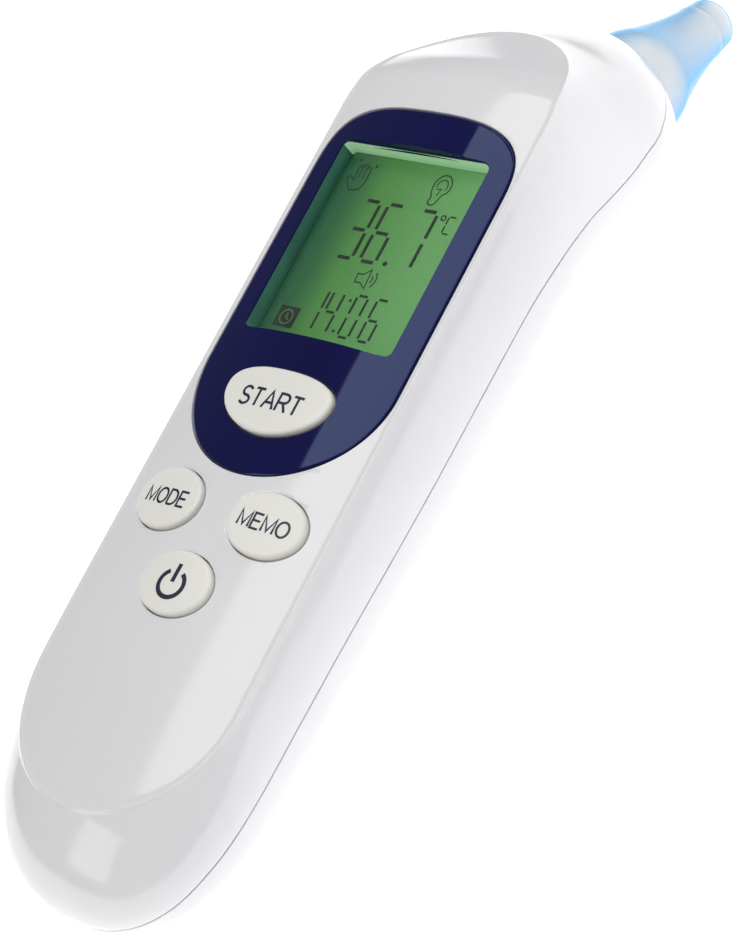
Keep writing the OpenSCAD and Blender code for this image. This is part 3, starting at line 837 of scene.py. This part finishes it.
SEGMENTS = {"a": ((0.12, 1), (0.88, 1)), "b": ((1, 0.95), (1, 0.55)), "c": ((1, 0.45), (1, 0.05)),
            "d": ((0.12, 0), (0.88, 0)), "e": ((0, 0.45), (0, 0.05)), "f": ((0, 0.95), (0, 0.55)),
            "g": ((0.12, 0.5), (0.88, 0.5))}
DIGITS = {"0": "abcdef", "1": "bc", "3": "abcdg", "4": "bcfg", "6": "acdefg", "7": "abc", "C": "adef"}


def digit(char, x, y, w, h, stroke):
    """Seven-segment digit with gaps between its segments."""
    quads = []
    for s in DIGITS[char]:
        (x0, y0), (x1, y1) = SEGMENTS[s]
        ends = [(x + w * x0, y + h * y0), (x + w * x1, y + h * y1)]
        quads += ribbon(ends, stroke)
    return quads


def arc(cx, cy, rx, ry, a0, a1, n=14):
    a = np.radians(np.linspace(a0, a1, n))
    return np.stack([cx + rx * np.cos(a), cy + ry * np.sin(a)], 1)


def dot(cx, cy, r):
    """Filled round dot, as a fan of slim quads."""
    a = np.radians(np.linspace(0, 360, 17))
    rim = np.stack([cx + r * np.cos(a), cy + r * np.sin(a)], 1)
    centre = np.array([cx, cy])
    return [[centre, rim[2 * k], rim[2 * k + 1], rim[2 * k + 2]] for k in range(8)]


def lcd_picture():
    """All dark marks of the display: reading, unit, clock and four icons."""
    marks = []
    for char, x in (("3", -5.9), ("6", -2.1), ("7", 3.3)):
        marks += digit(char, x, -0.95, 2.5, 8.3, 0.5)
    marks += dot(1.95, -0.75, 0.34)
    marks += digit("C", 7.7, 4.7, 1.15, 2.4, 0.22)
    marks += ribbon(arc(6.9, 6.8, 0.34, 0.34, 0, 337, 12), 0.2, True)
    for char, x in (("1", -5.6), ("4", -3.15), ("0", 0.55), ("6", 3.75)):
        marks += digit(char, x, -11.5, 1.7, 5.9, 0.36)
    marks += dot(-0.2, -6.5, 0.22) + dot(-0.35, -10.9, 0.22)
    # clock in its dark tile
    marks.append([np.array(c) for c in ((-9.95, -11.85), (-6.8, -11.85), (-6.8, -8.9), (-9.95, -8.9))])
    # speaker
    horn = [(-1.2, -2.7), (-0.3, -2.7), (0.6, -1.9), (0.8, -4.6), (-0.2, -3.9), (-1.1, -3.9)]
    marks += ribbon(horn, 0.17, True)
    for reach in (0.5, 1.1):
        marks += ribbon(arc(0.8, -3.2, reach, 1.2 * reach, -52, 52, 8), 0.17)
    # ear
    rim = np.concatenate([arc(4.3, 11.0, 1.35, 1.6, -30, 185, 16), [(3.1, 10.0), (3.5, 9.2)],
                          arc(3.9, 8.8, 0.6, 0.6, 175, 330, 7), [(4.9, 9.8)]])
    marks += ribbon(rim, 0.18, True)
    marks += ribbon(arc(4.3, 11.0, 0.8, 0.95, -30, 195, 12), 0.15)
    marks += ribbon([(3.7, 10.5), (4.4, 10.6), (4.1, 9.6)], 0.15)
    # hand with two sparks
    palm = np.concatenate([[(-9.9, 8.9), (-10.6, 10.0), (-10.2, 10.4), (-9.5, 9.8), (-9.6, 11.6)],
                           arc(-9.3, 11.6, 0.3, 0.35, 180, 0, 5), arc(-8.6, 11.9, 0.32, 0.35, 180, 0, 5),
                           arc(-7.9, 11.6, 0.3, 0.35, 180, 0, 5), [(-7.5, 9.8), (-8.0, 8.6), (-9.3, 8.3)]])
    marks += ribbon(palm, 0.17, True)
    for x in (-9.0, -8.3):
        marks += ribbon([(x, 10.1), (x, 11.5)], 0.13)
    marks += dot(-9.9, 12.7, 0.22) + dot(-7.0, 12.2, 0.22)
    return marks


def raised_marks(name, quads, base, depth=0.02):
    """Thin solid marks that stand on a surface, with no walls between neighbouring quads."""
    def side(a, b):
        return frozenset((tuple(np.round(a, 6)), tuple(np.round(b, 6))))

    uses = {}
    for q in quads:
        for i in range(4):
            key = side(q[i], q[(i + 1) % 4])
            uses[key] = uses.get(key, 0) + 1
    points, faces = [], []
    for k, q in enumerate(quads):
        plan = np.array(q)
        z = base(plan[:, 0], plan[:, 1])
        points += [np.column_stack([plan, z + depth]), np.column_stack([plan, z])]
        s = 8 * k
        faces += [(s, s + 1, s + 2, s + 3), (s + 7, s + 6, s + 5, s + 4)]
        for i in range(4):
            j = (i + 1) % 4
            if uses[side(q[i], q[j])] == 1:
                faces.append((s + i, s + j, s + 4 + j, s + 4 + i))
    return solid(name, np.concatenate(points), faces)


def build_display():
    marks = raised_marks("lcd_marks", lcd_picture(), lambda x, y: np.full(len(x), LCD_Z))
    place(dress(marks, "segment"), "housing", "chip")
    clock = ribbon(arc(-8.4, -10.4, 0.95, 1.0, 0, 348, 24), 0.2, True)
    clock += ribbon([(-8.4, -9.8), (-8.4, -10.45), (-7.95, -10.75)], 0.18)
    face = raised_marks("clock_face", clock, lambda x, y: np.full(len(x), LCD_Z + 0.02))
    place(dress(face, "clock"), "housing", "lcd")


# ---- keys ---------------------------------------------------------------------------------------------
def key_surface(centre, half):
    """Height of a key's top: the face's crown, lifted, with a slight dome of its own."""
    def height(x, y):
        d2 = ((np.asarray(x) - centre[0]) / half[0]) ** 2 + ((np.asarray(y) - centre[1]) / half[1]) ** 2
        return crown(x) + KEY_RISE + 0.12 * (1 - np.minimum(d2, 1.6))
    return height


def build_key(name, body, node, centre, half, outline, mark_name, mark):
    top = key_surface(centre, half)
    rings = []
    core = outline(-KEY_EDGE)
    for f in [0.02] + [k / 9 for k in range(1, 10)]:
        o = np.array(centre) + (core - centre) * f
        rings.append(np.column_stack([o, top(o[:, 0], o[:, 1])]))
    for a in np.radians([12, 24, 36, 48, 60, 72, 84, 90]):
        o = outline(-KEY_EDGE + KEY_EDGE * math.sin(a))
        rings.append(np.column_stack([o, top(o[:, 0], o[:, 1]) - KEY_EDGE * (1 - math.cos(a))]))
    o = outline(0)
    rings.append(np.column_stack([o, crown(o[:, 0]) - KEY_SKIRT]))
    flange = outline(FLANGE_OUT)
    rings.append(np.column_stack([flange, crown(flange[:, 0]) - FLANGE_TOP]))
    rings.append(np.column_stack([flange, crown(flange[:, 0]) - FLANGE_LOW]))
    stem = np.array(centre) + (outline(0) - centre) * STEM_SHARE
    rings.append(np.column_stack([stem, crown(stem[:, 0]) - STEM_TOP]))
    rings.append(np.column_stack([stem, np.full(len(stem), STEM_Z)]))
    key = rings_solid(name, rings)
    place(dress(key, "key"), body, "key", node)
    legend = raised_marks(mark_name, mark, top)
    place(dress(legend, "legend"), body, "panel")


LETTERS = {
    "S": (0.62, [np.concatenate([arc(0.31, 0.745, 0.29, 0.255, 25, 270, 14),
                                 arc(0.31, 0.245, 0.31, 0.245, 90, -155, 14)])]),
    "T": (0.62, [[(0, 1), (0.62, 1)], [(0.31, 1), (0.31, 0)]]),
    "A": (0.72, [[(0, 0), (0.36, 1), (0.72, 0)], [(0.13, 0.34), (0.59, 0.34)]]),
    "R": (0.64, [np.concatenate([[(0, 0), (0, 1)], arc(0.36, 0.74, 0.27, 0.26, 90, -90, 10), [(0, 0.48)]]),
                 [(0.34, 0.48), (0.64, 0)]]),
    "M": (0.80, [[(0, 0), (0, 1), (0.4, 0.08), (0.8, 1), (0.8, 0)]]),
    "O": (0.80, [arc(0.40, 0.5, 0.40, 0.5, 0, 360, 30)]),
    "D": (0.70, [np.concatenate([[(0, 0), (0, 1)], arc(0.3, 0.5, 0.4, 0.5, 90, -90, 14), [(0, 0)]])]),
    "E": (0.60, [[(0.6, 1), (0, 1), (0, 0), (0.6, 0)], [(0, 0.52), (0.55, 0.52)]]),
}


def word(text, centre, cap, gap=0.2, weight=0.15):
    """Plain capital letters drawn as strokes of one width, centred on a key."""
    total = sum(LETTERS[c][0] for c in text) + gap * (len(text) - 1)
    x = -total / 2
    quads = []
    for c in text:
        width, strokes = LETTERS[c]
        for stroke in strokes:
            line = np.array(stroke, float)
            line = np.array(centre) + (line + [x, -0.5]) * cap
            quads += ribbon(line, weight * cap)
        x += width + gap
    return quads


def power_symbol(centre):
    """Open ring with a stroke through its gap."""
    quads = ribbon(arc(centre[0], centre[1] - 0.35, 1.85, 1.75, 122, 418, 44), 0.58)
    return quads + ribbon([(centre[0], centre[1] + y) for y in (-0.1, 0.7, 1.5, 2.3)], 0.58)


def build_keys():
    start_at = (0.0, START_Y)
    build_key("start_button", "start", "start_key", start_at, (8.25, 4.5), start_outline,
              "start_word", word("START", (0, START_Y - 0.1), 2.35))
    for name, text in (("mode", "MODE"), ("memo", "MEMO")):
        centre = KEYS[name]
        build_key(name + "_button", name, name + "_key", centre, (KEY_A, KEY_B),
                  lambda g, c=centre: oval_outline(c, g),
                  name + "_word", word(text, centre, 1.95))
    centre = KEYS["power"]
    build_key("power_button", "power", "power_key", centre, (KEY_A, KEY_B),
              lambda g: oval_outline(centre, g),
              "power_mark", power_symbol(centre))


# ---- probe --------------------------------------------------------------------------------------------
def build_probe():
    collar = [(7.15, 10.5), (8.2, 10.5), (8.2, 12.5), (8.14, 12.75), (7.95, 12.9), (7.15, 12.9)]
    place(dress(turned("probe_ring", collar), "collar"), "housing", "collar", "probe_collar")
    barrel = [(flare(t) - COVER_T - 0.3, PROBE_LEN - t) for t in np.linspace(1.2, 19, 26)]
    barrel = [(2.45, PROBE_LEN - 1.3), (2.6, PROBE_LEN - 1.1), (3.0, PROBE_LEN - 1.1)] + barrel
    barrel += [(7.0, 16.6), (7.0, 8.4), (8.6, 8.4), (8.6, 7.2), (5.4, 7.2), (5.4, 17.0), (2.45, 24)]
    place(dress(turned("probe_cone", barrel), "barrel"), "housing", "barrel", "probe_barrel")
    outer = [(0.01, PROBE_LEN), (1.4, PROBE_LEN), (2.55, PROBE_LEN - 0.03), (3.0, PROBE_LEN - 0.12),
             (3.35, PROBE_LEN - 0.3), (3.6, PROBE_LEN - 0.6)]
    outer += [(flare(t) + 0.09 * math.exp(-((t - 4.0) / 0.28) ** 2), PROBE_LEN - t)
              for t in np.linspace(1, 21, 80)]
    outer += [(8.1, 14.0), (8.15, 13.4), (8.1, COVER_BASE), (8.15 - COVER_T, COVER_BASE)]
    inner = [(flare(t) - COVER_T, PROBE_LEN - t) for t in np.linspace(21, 1.2, 40)]
    inner += [(2.9, PROBE_LEN - 0.55), (0.01, PROBE_LEN - 0.36)]
    place(dress(turned("probe_film", outer + inner), "film"), "cover", "film", "probe_cover")


# ---- CAD nodes that keep their shape --------------------------------------------------------------------
NODE_LOOKS = {
    "display_lens": "lens", "lcd_glass": "lcd", "lcd_frame": "frame", "light_guide": "diffuser",
    "main_board": "board", "tact_switches": "switch", "controller_chip": "chip", "memory_chip": "chip",
    "buzzer": "chip", "sensor_flex": "flex", "probe_window": "ir_window", "waveguide_tube": "gold",
    "sensor_can": "steel", "sensor_holder": "aluminium", "battery_left": "cell", "battery_right": "cell",
    "battery_springs": "steel", "battery_contacts": "steel", "case_screws": "steel",
}


def dress_nodes():
    for name, look in NODE_LOOKS.items():
        node = frame["nodes"][name]
        for s in node.material_slots:
            s.link = "OBJECT"
            s.material = MATERIALS[look]


# ---- stage --------------------------------------------------------------------------------------------
def add_floor():
    mesh = bpy.data.meshes.new("floor")
    bm = bmesh.new()
    bmesh.ops.create_grid(bm, x_segments=8, y_segments=8, size=3.0)
    bm.to_mesh(mesh)
    bm.free()
    floor = link(mesh, "floor")
    mat, _, shader = new_material("floor_white")
    shader.inputs["Base Color"].default_value = (0.9, 0.9, 0.905, 1)
    shader.inputs["Roughness"].default_value = 0.9
    shader.inputs["Emission Color"].default_value = (0.98, 0.98, 1.0, 1)
    shader.inputs["Emission Strength"].default_value = 0.82
    mesh.materials.append(mat)


def area_light(name, place_at, target, size, power, colour=(1, 1, 1)):
    data = bpy.data.lights.new(name, "AREA")
    data.shape = "RECTANGLE"
    data.size, data.size_y = size
    data.energy = power
    data.color = colour
    obj = bpy.data.objects.new(name, data)
    bpy.context.scene.collection.objects.link(obj)
    obj.location = place_at
    aim = Vector(target) - Vector(place_at)
    obj.rotation_euler = aim.to_track_quat("-Z", "Y").to_euler()
    return obj


def add_lights():
    world_data = bpy.data.worlds.new("studio")
    bpy.context.scene.world = world_data
    world_data.use_nodes = True
    back = world_data.node_tree.nodes["Background"]
    back.inputs["Color"].default_value = (0.9, 0.92, 1.0, 1)
    back.inputs["Strength"].default_value = 0.15
    area_light("overhead", (0.05, 0.08, 0.75), (0.05, 0.08, 0), (0.78, 0.9), 5.0)
    area_light("right", (0.75, -0.2, 0.06), (0, 0, 0.02), (0.7, 0.12), 0.35)
    area_light("behind", (0.15, 0.8, 0.4), (0, 0, 0.02), (0.9, 0.5), 1.3)
    area_light("foot", (-0.3, -0.7, 0.4), (0, -0.06, 0.02), (0.35, 0.5), 1.0, (1.0, 0.95, 0.88))


add_camera()
build_housing()
build_panel()
build_display()
build_keys()
build_probe()
dress_nodes()
add_floor()
add_lights()
bpy.context.scene.view_settings.view_transform = "Standard"
